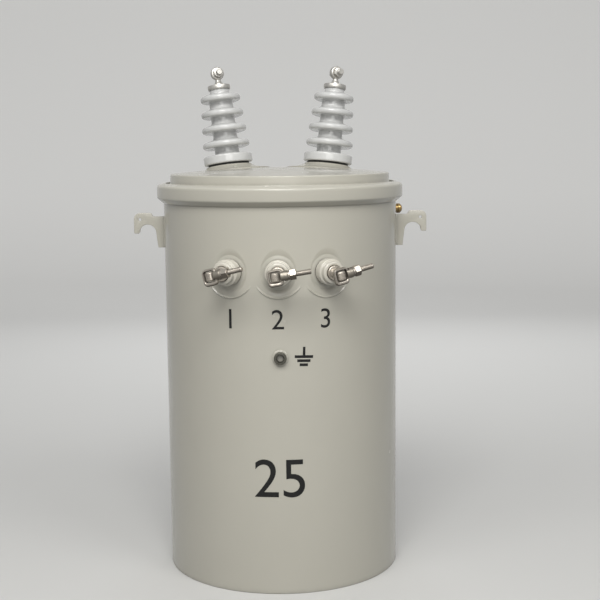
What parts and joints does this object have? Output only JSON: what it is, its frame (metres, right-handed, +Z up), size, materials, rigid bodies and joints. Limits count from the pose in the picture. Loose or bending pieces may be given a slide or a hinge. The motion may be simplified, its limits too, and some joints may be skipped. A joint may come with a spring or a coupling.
{
  "type": "pole mounted transformer",
  "caption": "Single-phase oil-filled distribution transformer for a pole: round tank with a clamped domed cover, shedded high-voltage bushings, eyebolt low-voltage terminals, lugs and pole brackets.",
  "frame": {"origin": "centre of the tank's foot, on the plane it stands on", "axes": "+Z up along the tank's axis, -Y the low-voltage side with the three front bushings, +Y the side with the pole brackets"},
  "size_m": [0.583, 0.6085, 0.9983],
  "materials": {
    "paint": "glossy",
    "seal": "matte",
    "zinc": "satin",
    "grey_porcelain": "glossy",
    "cream_porcelain": "glossy",
    "tinned": "satin",
    "brass": "satin",
    "core": "matte"
  },
  "bodies": {
    "root": {"tank_wall": "paint", "tank_bottom": "paint", "cover": "paint", "cover_seal": "seal", "clamp_band": "paint", "band_bolt": "zinc", "lift_lug_left": "paint", "lift_lug_right": "paint", "hanger_upper": "paint", "hanger_lower": "paint", "hv_seal_left": "seal", "hv_porcelain_left": "grey_porcelain", "hv_cap_left": "tinned", "hv_terminal_left": "tinned", "hv_bolt_left": "tinned", "hv_seal_right": "seal", "hv_porcelain_right": "grey_porcelain", "hv_cap_right": "tinned", "hv_terminal_right": "tinned", "hv_bolt_right": "tinned", "lv_seal_1": "seal", "lv_porcelain_1": "cream_porcelain", "lv_stud_1": "tinned", "lv_eyebolt_1": "tinned", "lv_saddle_1": "tinned", "lv_nut_1": "tinned", "lv_seal_2": "seal", "lv_porcelain_2": "cream_porcelain", "lv_stud_2": "tinned", "lv_eyebolt_2": "tinned", "lv_saddle_2": "tinned", "lv_nut_2": "tinned", "lv_seal_3": "seal", "lv_porcelain_3": "cream_porcelain", "lv_stud_3": "tinned", "lv_eyebolt_3": "tinned", "lv_saddle_3": "tinned", "lv_nut_3": "tinned", "ground_boss": "tinned", "relief_valve": "brass", "core_and_coils": "core"}
  },
  "joints": []
}
